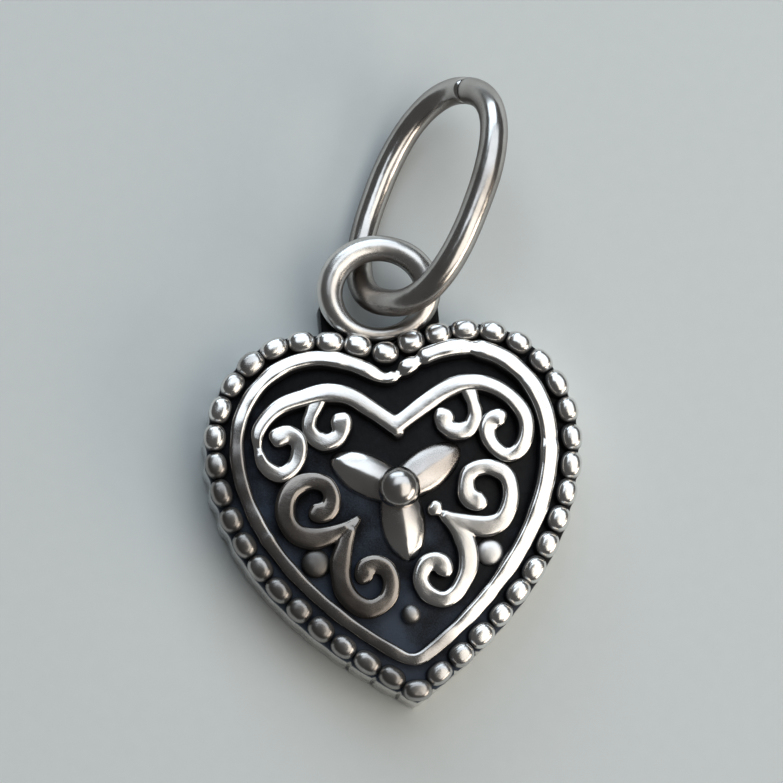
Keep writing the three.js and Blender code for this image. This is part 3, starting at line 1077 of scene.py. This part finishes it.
@dataclass
class BeadBorder:
    """Granules soldered side by side round the plate."""

    shop: Workshop
    plate: HeartPlate
    size: tuple[float, float, float] = (0.90, 0.72, 0.54)
    sunk: float = 0.05
    tilt: float = 0.14
    inward: float = 0.04
    foot: float = -0.38
    rubbed: float = 0.5
    # The dark film that grows towards the lower left is painted shade; the rest of it is random tarnish.
    finish: SilverFinish = SilverFinish(
        "bead_silver", film_and_shade=(0.15, 0.135, 0.125), dark_below=1.66, bright_above=1.84, gloss=0.23,
        filmed=0.8, painted_shade_slope=0.07, clean=0.2, seed=1.0,
    )

    def granule(self, fullness: float = 3.3, boxiness: float = 2.35) -> bpy.types.Object:
        """A bead one unit long, wide and high, flat under its foot.

        Args:
            fullness: 2 is a round dome, and more is flatter on top.
            boxiness: 2 is round in plan, and more is squarer.

        Returns:
            A working object.
        """
        build = bmesh.new()
        bmesh.ops.create_uvsphere(build, u_segments=28, v_segments=18, radius=1.0)
        for v in build.verts:
            ring = math.hypot(v.co.x, v.co.y)
            if ring > self.shop.weld:
                boxy = sum(abs(part / ring) ** boxiness for part in v.co.xy) ** (-1 / boxiness)
                v.co.xy *= 0.5 * ring ** (2 / fullness - 1) * boxy
            v.co.z = (max(v.co.z, self.foot) - self.foot) / (1 - self.foot)
        return self.shop.cast("granule", build)

    def build(self) -> bpy.types.Object:
        """Sets and dresses the beads, each where its solid is.

        Returns:
            The piece.
        """
        names = [f"border_bead_{i:02d}" for i in range(1, self.plate.bead_count + 1)]
        middles = np.array([(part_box(n)[0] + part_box(n)[1]) / (2 * MM) for n in names])
        middles[:, 2] = self.plate.thickness - self.sunk
        along = np.roll(middles, -1, axis=0) - np.roll(middles, 1, axis=0)
        turns = np.arctan2(along[:, 1], along[:, 0])
        middles[:, 0] += self.inward * np.sin(turns)
        middles[:, 1] -= self.inward * np.cos(turns)
        spots = (middles, np.tile(self.size, (len(names), 1)), turns)
        hand = {"Uneven": 0.06, "Skew": 0.06, "Tilt": self.tilt, "Wobble": 0.014, "Seed": 2.0}
        own = {"rubbed": self.rubbed}
        return self.shop.copies("border_beads", self.granule(), self.finish, spots, hand, names, **own)


@dataclass
class RimWire:
    """The wire that runs inside the beads as a second heart."""

    shop: Workshop
    plate: HeartPlate
    line: HeartLine
    width: float = 0.54
    height: float = 0.42
    drawn_in: float = 0.014
    right_swell: float = 0.13
    tip_taper: float = 0.045
    lean: float = 0.034
    points_each_side: int = 190
    corner_reach: float = 0.45
    corner_rounds: int = 12
    pinch_reach: float = 0.14
    pinches: Spots = (
        (0.36, 4.3, 0.42), (0.98, 4.72, 0.4), (2.72, 4.9, 0.2), (5.0, 1.8, 0.2), (-2.8, -2.95, 0.25),
        (2.55, -2.6, 0.2), (-4.4, -0.72, -0.5),
    )
    cleft_pinch: float = 0.38
    cleft_reach: float = 0.42
    waves: Spots = ((0.03, 17, 0.4 * math.pi), (0.025, 31, 0.0))
    hold: float = 0.6
    # The dark film that grows towards the lower left is painted shade; the rest of it is random tarnish.
    finish: SilverFinish = SilverFinish(
        "rim_silver", film_and_shade=(0.19, 0.172, 0.16), dark_below=1.72, bright_above=1.87, gloss=0.13,
        filmed=0.85, painted_shade_slope=0.075, clean=0.16, seed=2.0,
    )

    def build(self) -> bpy.types.Object:
        """Makes and dresses the wire.

        Returns:
            The piece.
        """
        cleft = (0.0, self.line.top - self.line.cleft)
        tip = (0.0, -self.line.tip)
        sharp = both_halves(self.line.right_half(self.points_each_side))
        points = eased(sharp, (cleft, tip), self.corner_reach, self.corner_rounds)
        points[:, 0] -= self.drawn_in * np.maximum(points[:, 0], 0.0)
        turn = 2 * np.pi * np.arange(len(points)) / len(points)
        hand = 1 + waver(turn, self.waves) + self.right_swell * points[:, 0] / self.line.half
        hand -= self.tip_taper * np.maximum(-points[:, 1], 0.0)
        for x, y, depth in self.pinches:
            hand -= depth * swell(np.linalg.norm(points - (x, y), axis=1), self.pinch_reach)
        hand -= self.cleft_pinch * swell(np.linalg.norm(points - cleft, axis=1), self.cleft_reach)
        girth = self.width * hand * mitre(points, True)
        rise = self.height * (self.hold + (1 - self.hold) * hand)
        values = {"Base": self.plate.thickness, "Lean": self.lean, "Wobble": 0.010, "Seed": 4.0}
        runs = [(points, girth, rise)]
        blank = self.shop.wires("rim_wire_worked", Section.LAID, self.finish, runs, values, closed=True)
        return self.shop.complete(blank, self.finish, Slot.POLISHED, ["rim_wire"])


@dataclass
class Scrollwork:
    """The arch, its curls and the forked scrolls, placed as shares of the rim's half sizes."""

    shop: Workshop
    plate: HeartPlate
    rim: HeartLine
    finish: SilverFinish = SilverFinish("scroll_silver", dark_below=1.74, bright_above=1.90, seed=3.0)
    # Darker silver and film for the left fork: partly wear, partly painted shade, with film growing towards
    # the lower left as painted shade.
    worn: SilverFinish = SilverFinish(
        "scroll_silver_worn", silver=(0.30, 0.275, 0.253), film_and_shade=(0.11, 0.097, 0.088), dark_below=1.74,
        bright_above=1.92, filmed=0.9, painted_shade_slope=0.1, clean=0.34, seed=4.0,
    )
    lean: float = 0.032
    arch_height: float = 0.45
    curl_height: float = 0.4
    fork_height: float = 0.42
    full_height_from: float = 0.36
    least_height: float = 0.06
    thin_fall: float = 0.7
    knob_close: float = 0.97
    knob_dome: float = 0.25
    points_along: int = 180
    smoothed_over: int = 5
    waves: Spots = ((0.03, 19), (0.02, 43))
    arch_right: Spots = (
        (0.02, 0.525), (0.21, 0.645), (0.345, 0.725), (0.47, 0.765), (0.6, 0.755), (0.71, 0.7), (0.8, 0.61),
        (0.85, 0.5), (0.835, 0.375), (0.78, 0.3), (0.71, 0.28), (0.635, 0.335), (0.6, 0.41), (0.605, 0.475),
        (0.64, 0.515), (0.69, 0.52), (0.73, 0.5),
    )
    arch_left: Spots = (
        (-0.02, 0.525), (0.13, 0.645), (0.26, 0.74), (0.4, 0.77), (0.545, 0.75), (0.69, 0.71), (0.79, 0.64),
        (0.86, 0.54), (0.865, 0.43), (0.83, 0.33), (0.74, 0.27), (0.65, 0.315), (0.605, 0.405),
        (0.61, 0.48), (0.66, 0.52), (0.72, 0.51), (0.785, 0.475),
    )
    curl_right: Spots = (
        (0.5, 0.74), (0.53, 0.62), (0.53, 0.545), (0.48, 0.47), (0.4, 0.46), (0.335, 0.5), (0.335, 0.57),
        (0.35, 0.62),
    )
    curl_left: Spots = (
        (0.45, 0.74), (0.51, 0.635), (0.53, 0.56), (0.495, 0.485), (0.42, 0.455), (0.345, 0.49),
        (0.32, 0.57), (0.32, 0.645),
    )
    upper_right: Spots = (
        (0.185, 0.008), (0.285, -0.08), (0.4, -0.135), (0.52, -0.165), (0.625, -0.14), (0.69, -0.045),
        (0.71, 0.06), (0.685, 0.155), (0.57, 0.215), (0.46, 0.185), (0.43, 0.1), (0.44, 0.03),
        (0.49, 0.003), (0.55, 0.032),
    )
    upper_left: Spots = (
        (0.255, -0.035), (0.4, -0.12), (0.555, -0.155), (0.67, -0.115), (0.725, -0.015), (0.715, 0.1),
        (0.665, 0.175), (0.555, 0.215), (0.455, 0.18), (0.425, 0.095), (0.455, 0.022), (0.515, 0.008),
        (0.575, 0.045),
    )
    lower_right: Spots = (
        (0.185, 0.008), (0.31, -0.11), (0.375, -0.215), (0.4, -0.31), (0.39, -0.425), (0.35, -0.505),
        (0.29, -0.58), (0.22, -0.61), (0.125, -0.565), (0.085, -0.475), (0.12, -0.385), (0.175, -0.36),
        (0.222, -0.378), (0.23, -0.42), (0.208, -0.465),
    )
    lower_left: Spots = (
        (0.255, -0.035), (0.335, -0.13), (0.385, -0.245), (0.415, -0.375), (0.4, -0.505), (0.325, -0.6),
        (0.24, -0.63), (0.135, -0.575), (0.1, -0.475), (0.125, -0.385), (0.19, -0.35), (0.25, -0.365),
        (0.265, -0.415), (0.245, -0.47),
    )
    arch_drop: Spots = ((0.03, 0.525), (0.032, 0.485), (0.035, 0.448))
    arch_right_widths: Spots = (
        (0, 0.58), (0.25, 0.60), (0.5, 0.53), (0.7, 0.53), (0.85, 0.50), (0.93, 0.62), (1, 0.64),
    )
    arch_left_widths: Spots = (
        (0, 0.58), (0.25, 0.62), (0.45, 0.54), (0.55, 0.46), (0.61, 0.28), (0.66, 0.44), (0.72, 0.54),
        (0.87, 0.54), (0.94, 0.64), (1, 0.64),
    )
    drop_widths: Spots = ((0, 0.42), (1, 0.42))
    curl_widths: Spots = ((0, 0.56), (0.2, 0.46), (0.55, 0.60), (0.76, 0.54), (0.88, 0.72), (1, 0.72))
    right_widths: Spots = (
        (0, 0.56), (0.05, 0.56), (0.066, 0.2), (0.072, 0.2), (0.09, 0.4), (0.14, 0.52), (0.25, 0.70),
        (0.5, 0.56), (0.82, 0.55), (0.92, 0.68), (1, 0.68),
    )
    left_widths: Spots = (
        (0, 0.16), (0.05, 0.26), (0.12, 0.48), (0.25, 0.72), (0.5, 0.66), (0.8, 0.56), (0.92, 0.68),
        (1, 0.68),
    )

    def plan(self, shares: Spots, side: int) -> np.ndarray:
        """Plan points of one scroll.

        Args:
            shares: points as shares of the rim's half width and half height.
            side: 1 on the right and -1 on the left.

        Returns:
            Even points in millimetres, from the root to the curled end.
        """
        middle = (self.rim.top - self.rim.tip) / 2
        reach = (self.rim.top + self.rim.tip) / 2
        points = [(side * x * self.rim.half, middle + y * reach) for x, y in shares]
        return through(points, self.points_along)

    def girth(self, line: np.ndarray, stops: Spots, rooted: bool) -> tuple[np.ndarray, np.ndarray]:
        """Widths along a scroll, which ends in a round knob.

        Args:
            line: the scroll's points.
            stops: shares of the length, each with its width.
            rooted: whether its start is round too.

        Returns:
            A width for each point, and its share of the full height, lower where the wire runs thin.
        """
        share = np.linspace(0.0, 1.0, len(line))
        length = np.sum(np.linalg.norm(np.diff(line, axis=0), axis=1))
        to_end = (1 - share) * length
        width = np.interp(share, *np.array(stops).T)
        over = self.smoothed_over
        width = np.convolve(np.pad(width, over // 2, "edge"), np.ones(over) / over, "valid")
        width *= 1 + waver(share, tuple((*wave, start) for wave, start in zip(self.waves, line[-1])))
        for apart, knob in [(to_end, width[-1])] + [(share * length, width[0])] * rooted:
            width *= round_end(apart, knob / 2, self.knob_close)
        dome = round_end(to_end, width.max() / 2, self.knob_dome)
        full = np.clip(width / self.full_height_from, self.least_height, 1.0)
        return width, dome * full**self.thin_fall

    def _wires(
        self, name: str, lines: list, girths: list, height: float, finish: SilverFinish, slot: Slot
    ) -> bpy.types.Object:
        """Sweeps wires and finishes them as one piece named after its solid.

        Args:
            name: the solid's name.
            lines: the points of each wire.
            girths: what girth gives for each wire.
            height: the full height.
            finish: their finish.
            slot: the record's slot for it.

        Returns:
            The piece.
        """
        runs = []
        for line, (width, rise) in zip(lines, girths):
            runs.append((line, width * mitre(line, False), height * rise))
        hand = {"Lean": self.lean, "Wobble": 0.010, "Seed": float(len(name))}
        values = {"Base": self.plate.thickness, **hand}
        blank = self.shop.wires(f"{name}_worked", Section.LAID, finish, runs, values)
        self.shop.melt(blank, grain=0.025, rounds=14)
        return self.shop.complete(blank, finish, slot, [name])

    def build(self) -> list[bpy.types.Object]:
        """Makes and dresses the scrolls.

        Returns:
            The pieces.
        """
        plain = (self.finish, Slot.POLISHED)
        left, right = self.plan(self.arch_left, -1), self.plan(self.arch_right, 1)
        left_girth = self.girth(left, self.arch_left_widths, False)
        right_girth = self.girth(right, self.arch_right_widths, False)
        arch = np.vstack([left[1:][::-1], right])
        arch_girth = [np.concatenate([a[1:][::-1], b]) for a, b in zip(left_girth, right_girth)]
        drop = self.plan(self.arch_drop, 1)
        girths = [arch_girth, self.girth(drop, self.drop_widths, True)]
        made = [self._wires("arch_scroll", [arch, drop], girths, self.arch_height, *plain)]
        for side, word, spots in ((1, "right", self.curl_right), (-1, "left", self.curl_left)):
            curl = self.plan(spots, side)
            width = self.girth(curl, self.curl_widths, False)
            made.append(self._wires(f"arch_curl_{word}", [curl], [width], self.curl_height, *plain))
        for side, word, spots, stops, dress in (
            (1, "right", (self.upper_right, self.lower_right), self.right_widths, plain),
            # The left fork takes the darker finish, partly wear and partly painted shade.
            (-1, "left", (self.upper_left, self.lower_left), self.left_widths, (self.worn, Slot.WORN)),
        ):
            lines = [self.plan(s, side) for s in spots]
            girths = [self.girth(line, stops, True) for line in lines]
            made.append(self._wires(f"fork_scroll_{word}", lines, girths, self.fork_height, *dress))
        return made


@dataclass
class Flower:
    """A ball with three plump petals that run in under it, and the loose granules beside it."""

    shop: Workshop
    plate: HeartPlate
    beads: BeadBorder
    ball: float = 1.33
    sunk: float = 0.11
    ball_wear: float = 0.18
    ball_spread: float = 1.03
    petal_tip: float = 2.3
    petal_width: float = 1.38
    petal_height: float = 0.46
    petal_root: float = 0.3
    petal_widest: float = 0.38
    root_taper: float = 0.85
    tip_taper: float = 0.63
    ridge: float = 1.07
    ridge_fall: float = 0.62
    ridge_round: float = 0.20
    edge_fullness: float = 7.0
    edge_fall: float = 0.42
    side_fullness: float = 0.62
    least_side: float = 0.01
    back_fullness: float = 2.4
    least_back: float = 0.0005
    petal_sizes: Spots = ((1.02, 1.0, 1.0), (1.05, 0.97, 1.0), (1.01, 1.04, 1.05))
    petal_angles: tuple[float, ...] = (149.5, 30.5, 274.0)
    dot_swell: Spots = ((1.06, 1.06, 1.0), (1.14, 1.14, 0.58), (1.06, 1.06, 1.0))
    dot_turns: tuple[float, ...] = (0.3, 0.8, 0.1)
    finish: SilverFinish = SilverFinish(
        "flower_silver", silver=(0.70, 0.68, 0.66), film_and_shade=(0.30, 0.27, 0.25), dark_below=1.70,
        bright_above=1.95, flank=-0.8, crown=-0.2, gloss=0.19, filmed=0.85, dents=0.016, seed=6.0,
    )
    # Its film grows towards the upper right, which is painted shade on the right petal.
    petal_finish: SilverFinish = SilverFinish(
        "petal_silver", film_and_shade=(0.40, 0.355, 0.33), dark_below=1.66, bright_above=1.72, flank=-0.3, crown=0.1,
        gloss=0.19, filmed=0.8, painted_shade_slope=-0.04, clean=-0.05, dents=0.003, seed=7.0,
    )
    # Its dark film grows towards the lower left, which is painted shade on the left dot.
    dot_finish: SilverFinish = SilverFinish(
        "dot_silver", film_and_shade=(0.115, 0.107, 0.101), dark_below=1.71, bright_above=1.80, flank=-0.4, crown=0.1,
        gloss=0.36, filmed=0.95, painted_shade_slope=0.1, clean=0.25, seed=8.0,
    )

    def middle(self) -> np.ndarray:
        """The flower's centre on the field, read from the ball's solid."""
        low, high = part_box("flower_ball")
        return np.array([(low.x + high.x) / 2, (low.y + high.y) / 2, low.z]) / MM

    def petal(self) -> bpy.types.Object:
        """One petal pointing along X, softly ridged, with a round foot.

        Returns:
            A working object.
        """
        stations, sides = 36, 27
        s = np.sin(np.pi * (np.arange(sides) / (sides - 1) - 0.5))
        gable = self.ridge - self.ridge_fall * np.hypot(s, self.ridge_round)
        gable *= np.maximum(1 - np.abs(s) ** self.edge_fullness, 0.0) ** self.edge_fall
        rings = []
        for t in np.sin(np.pi / 2 * np.arange(stations) / (stations - 1)):
            x = self.petal_root + (self.petal_tip - self.petal_root) * t
            away = (t - self.petal_widest) / (self.tip_taper if t > self.petal_widest else self.root_taper)
            half = self.petal_width / 2 * max(1 - away**2, self.least_side) ** self.side_fullness
            tall = self.petal_height * max(1 - t**self.back_fullness, self.least_back) ** 0.5
            rings.append(np.column_stack([np.full(sides, x), -s * half, tall * gable]))
        return self.shop.loft("petal_shape", rings)

    def build(self) -> list[bpy.types.Object]:
        """Makes and dresses the petals, the ball and the granules."""
        return [self._petals(), self._ball(), self._dots()]

    def _petals(self) -> bpy.types.Object:
        """The three petals round the ball.

        Returns:
            The piece.
        """
        nodes = ["petal_left", "petal_right", "petal_lower"]
        places = np.tile(self.middle(), (len(nodes), 1))
        spots = (places, np.array(self.petal_sizes), np.radians(self.petal_angles))
        hand = {"Uneven": 0.02, "Skew": 0.0, "Wobble": 0.010, "Seed": 5.0}
        return self.shop.copies("petals", self.petal(), self.petal_finish, spots, hand, nodes, crease=40)

    def _ball(self) -> bpy.types.Object:
        """The ball, a little worn on top and flat under its foot.

        Returns:
            The piece.
        """
        middle = Vector(self.middle()[:2])
        build = bmesh.new()
        bmesh.ops.create_uvsphere(build, u_segments=56, v_segments=36, radius=self.ball / 2)
        lift = self.plate.thickness + self.ball / 2 - self.sunk
        for v in build.verts:
            worn = 1 - self.ball_wear * (v.co.z > 0)
            v.co.z = max(v.co.z * worn + lift, self.plate.thickness)
            v.co.xy = v.co.xy * self.ball_spread + middle
        blank = self.shop.cast("flower_ball_worked", build)
        return self.shop.complete(blank, self.finish, Slot.POLISHED, ["flower_ball"])

    def _dots(self) -> bpy.types.Object:
        """The three loose granules, each where its solid is.

        Returns:
            The piece.
        """
        nodes = ["dot_left", "dot_right", "dot_lower"]
        corners = [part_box(n) for n in nodes]
        middles = np.array([(low + high) / (2 * MM) for low, high in corners])
        middles[:, 2] = self.plate.thickness
        sizes = np.array([(high - low) / MM for low, high in corners]) * self.dot_swell
        shape = self.beads.granule(fullness=2.7, boxiness=2.0)
        spots = (middles, sizes, np.array(self.dot_turns))
        hand = {"Uneven": 0.02, "Skew": 0.03, "Wobble": 0.012, "Seed": 9.0}
        return self.shop.copies("dots", shape, self.dot_finish, spots, hand, nodes)


@dataclass
class HangerLoop:
    """Oval loop of round wire, soldered flat above the cleft."""

    shop: Workshop
    wire: float = 0.86
    half_width: float = 1.6
    half_length: float = 1.515
    thinned: float = 0.5
    thinned_reach: float = 55.0
    points_round: int = 160
    drawn: float = 0.98
    waves: Spots = ((0.02, 3, 0.4),)
    # Sides that face towards the lower left count as tops: a painted highlight on the loop.
    rubbed: float = 0.6
    painted_highlight_from: tuple[float, float] = (2.5, 1.0)
    # The loop's darker underside and flanks are painted shade.
    finish: SilverFinish = SilverFinish(
        "loop_silver", silver=(0.78, 0.76, 0.735), film_and_shade=(0.34, 0.30, 0.275), oxide_and_shade=(0.11, 0.095, 0.085),
        dull=0.35, dark_below=1.10, bright_above=1.50, flank=0.20, crown=0.80, gloss=0.27, filmed=0.5,
        dents=0.018, seed=9.0,
    )

    @property
    def hole(self) -> np.ndarray:
        """The half width and half length of the loop's hole."""
        return np.array([self.half_width, self.half_length]) - self.wire / 2

    @property
    def centre(self) -> np.ndarray:
        """The loop's middle, read from its solid, whose foot is filed to the plate.

        Returns:
            A point in millimetres.
        """
        low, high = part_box("hanger_loop")
        far = high.y / MM - self.half_length - self.wire / 2
        return np.array([(low.x + high.x) / (2 * MM), far, (low.z + high.z) / (2 * MM)])

    def build(self) -> bpy.types.Object:
        """Makes and dresses the loop.

        Returns:
            The piece.
        """
        turn = np.linspace(0, 2 * np.pi, self.points_round, endpoint=False)
        outward = unit(oval(turn, self.hole[::-1]))
        at_plate = 1.5 * np.pi
        foot = swell(turn - at_plate, np.radians(self.thinned_reach))
        girth = self.wire * (self.drawn + waver(turn, self.waves)) * (1 - self.thinned * foot)
        line = self.centre + at_height(oval(turn, self.hole) + outward * girth[:, None] / 2, 0.0)
        hand, runs = {"Wobble": 0.010, "Seed": 6.0}, [(line, girth, girth)]
        blank = self.shop.wires("hanger_loop_worked", Section.ROUND, self.finish, runs, hand, closed=True)
        own = {"rubbed": self.rubbed, "about": self.centre[:2] + self.painted_highlight_from}
        return self.shop.complete(blank, self.finish, Slot.POLISHED, ["hanger_loop"], **own)


@dataclass
class JumpRing:
    """Loose oval ring, open at a butt seam, leaning through the loop."""

    shop: Workshop
    loop: HangerLoop
    wire: float = 0.92
    length: float = 7.44
    width: float = 4.78
    squareness: float = 2.5
    far_squareness: float = 2.25
    cut: float = 0.03
    heading: float = 64.4
    lift: float = 0.005
    seat: tuple[float, float, float] = (0.2, 1.262, 0.63)
    seam_round: float = 0.10
    seam_reach: float = 0.0022
    fine_points: int = 4000
    points_along: int = 260
    drawn: float = 0.95
    waves: Spots = ((0.015, 5, 1.0), (-0.03, 1, 0.0))
    # The ring's darker flanks and underside are painted shade.
    finish: SilverFinish = SilverFinish(
        "ring_silver", silver=(0.70, 0.675, 0.65), film_and_shade=(0.24, 0.205, 0.18), oxide_and_shade=(0.11, 0.093, 0.082),
        dull=0.3, flank=0.15, crown=0.8, gloss=0.18, filmed=0.8, dents=0.012, seed=10.0,
    )

    def line(self) -> np.ndarray:
        """The ring's centre line where its solid lies.

        Returns:
            Its points, from one side of the seam to the other.
        """
        start = (self.cut / self.width) ** (self.far_squareness / 2)
        turn = np.linspace(start, 2 * np.pi - start, self.fine_points)
        along, across = np.cos(turn), np.sin(turn)
        power = 2 / np.where(along > 0, self.far_squareness, self.squareness)
        x = self.length / 2 * (1 + np.sign(along) * np.abs(along) ** power)
        y = self.width / 2 * np.sign(across) * np.abs(across) ** power
        flat = evenly(np.stack([x, y], axis=1), self.points_along)
        apart = (self.loop.wire + self.wire) / 2
        near = (0.0, self.loop.centre[1] - self.loop.half_length, self.loop.centre[2])
        seat = near + apart * np.array(self.seat)
        lean = math.asin((seat[2] - self.wire / 2 - self.lift) / (self.width / 2))
        turned = Matrix.Rotation(math.radians(self.heading), 3, "Z") @ Matrix.Rotation(-lean, 3, "X")
        return at_height(flat, 0.0) @ np.array(turned).T + seat

    def build(self) -> bpy.types.Object:
        """Makes and dresses the ring.

        Returns:
            The piece.
        """
        line = self.line()
        share = np.linspace(0.0, 1.0, len(line))
        girth = self.wire * (1 - self.seam_round * swell(np.minimum(share, 1 - share), self.seam_reach))
        girth *= self.drawn + waver(2 * np.pi * share, self.waves)
        hand, runs = {"Wobble": 0.008, "Seed": 12.0}, [(line, girth, girth)]
        blank = self.shop.wires("jump_ring_worked", Section.ROUND, self.finish, runs, hand)
        return self.shop.complete(blank, self.finish, Slot.POLISHED, ["jump_ring"], body=Body.RING)


# Studio


@dataclass(frozen=True)
class Lamp:
    """A soft panel of light."""

    name: str
    place: tuple[float, float, float]
    aim: tuple[float, float, float]
    size: tuple[float, float]
    power: float
    tint: Colour

    def build(self) -> bpy.types.Object:
        """Hangs the lamp.

        Returns:
            The lamp.
        """
        data = bpy.data.lights.new(self.name, "AREA")
        data.shape = "RECTANGLE"
        data.size, data.size_y = self.size
        data.energy = self.power
        data.color = self.tint
        made = linked(self.name, data)
        facing = (Vector(self.aim) - Vector(self.place)).to_track_quat("-Z", "Y").to_matrix().to_4x4()
        made.matrix_world = Matrix.Translation(self.place) @ facing
        return made


@dataclass
class Studio:
    """Pale floor, soft lamps and the camera."""

    floor: PaperFinish = PaperFinish("pale_card")
    floor_reach: float = 0.9
    floor_level: float = -0.00001
    surround: Colour = (0.07, 0.07, 0.07)
    azimuth: float = -36.0
    elevation: float = 80.0
    roll: float = 5.5
    distance: float = 0.150
    focal: float = 4725.0
    image: int = 783
    target: tuple[float, float, float] = (-0.106, 0.0, 1.6)
    target_pixel: tuple[float, float] = (396.0, 511.0)
    lamps: tuple[Lamp, ...] = (
        Lamp("sky_top", (0.10, 0.22, 0.30), (0.10, 0.22, 0.0), (0.44, 0.28), 0.60, (0.84, 0.92, 1.0)),
        Lamp("side_top", (0.20, -0.0875, 0.3), (0.20, -0.0875, 0.0), (0.3, 0.325), 0.5, (1.0, 0.95, 0.87)),
        Lamp("sky_low", (-0.03, 0.42, 0.20), (0.0, 0.0, 0.0), (0.40, 0.20), 0.60, (0.76, 0.89, 1.0)),
        Lamp("warm_low", (0.32, -0.22, 0.16), (0.0, 0.0, 0.0), (0.32, 0.15), 0.50, (1.0, 0.89, 0.76)),
    )

    def build(self) -> None:
        """Lays the floor and sets the lamps, the surround and the camera."""
        self._floor()
        self._surround()
        for lamp in self.lamps:
            lamp.build()
        self._camera()
        bpy.context.scene.view_settings.view_transform = "Standard"

    def _floor(self) -> None:
        """A wide flat card just under the charm."""
        mesh = bpy.data.meshes.new("floor")
        corners = ((-1, -1), (1, -1), (1, 1), (-1, 1))
        spots = [(x * self.floor_reach, y * self.floor_reach, self.floor_level) for x, y in corners]
        mesh.from_pydata(spots, [], [(0, 1, 2, 3)])
        mesh.materials.append(self.floor.material())
        made = linked("floor", mesh)

    def _surround(self) -> None:
        """An even room tone."""
        world = bpy.data.worlds.new("surround")
        world.use_nodes = True
        back = world.node_tree.nodes["Background"]
        back.inputs["Color"].default_value = (*self.surround, 1.0)
        back.inputs["Strength"].default_value = 1.0
        bpy.context.scene.world = world

    def _camera(self) -> None:
        """The photograph's camera, aimed at the middle of its frame."""
        a, e, r = (math.radians(x) for x in (self.azimuth, self.elevation, self.roll))
        back = Vector((math.sin(a) * math.cos(e), -math.cos(a) * math.cos(e), math.sin(e)))
        level = (Vector((0, 1, 0)) - back * back.y).normalized()
        beside = level.cross(back)
        up = level * math.cos(r) + beside * math.sin(r)
        right = beside * math.cos(r) - level * math.sin(r)
        eye = Vector(self.target) * MM + back * self.distance
        middle = self.image / 2
        offset = right * (middle - self.target_pixel[0]) - up * (middle - self.target_pixel[1])
        aim = (offset - back * self.focal).normalized()
        right = aim.cross(up).normalized()
        up = right.cross(aim)
        data = bpy.data.cameras.new("camera")
        data.sensor_width = 36.0
        data.lens = self.focal / self.image * data.sensor_width
        data.clip_start = 0.01
        data.clip_end = 5.0
        made = linked("camera", data)
        made.matrix_world = Matrix.Translation(eye) @ Matrix((right, up, -aim)).transposed().to_4x4()
        bpy.context.scene.camera = made


def main() -> None:
    """Builds the charm and the studio."""
    logging.basicConfig(level=logging.INFO, format="%(name)s %(message)s")
    shop = Workshop()
    bead_line = HeartLine(half=5.71, top=5.62, tip=5.79, cleft=0.56)
    rim_line = HeartLine(half=4.96, top=4.98, tip=4.88, cleft=0.92)
    plate = HeartPlate(shop, bead_line)
    beads = BeadBorder(shop, plate)
    loop = HangerLoop(shop)
    plate.build()
    plate.build_saddle(loop)
    beads.build()
    RimWire(shop, plate, rim_line).build()
    Scrollwork(shop, plate, rim_line).build()
    Flower(shop, plate, beads).build()
    loop.build()
    JumpRing(shop, loop).build()
    Studio().build()


if __name__ == "__main__":
    main()
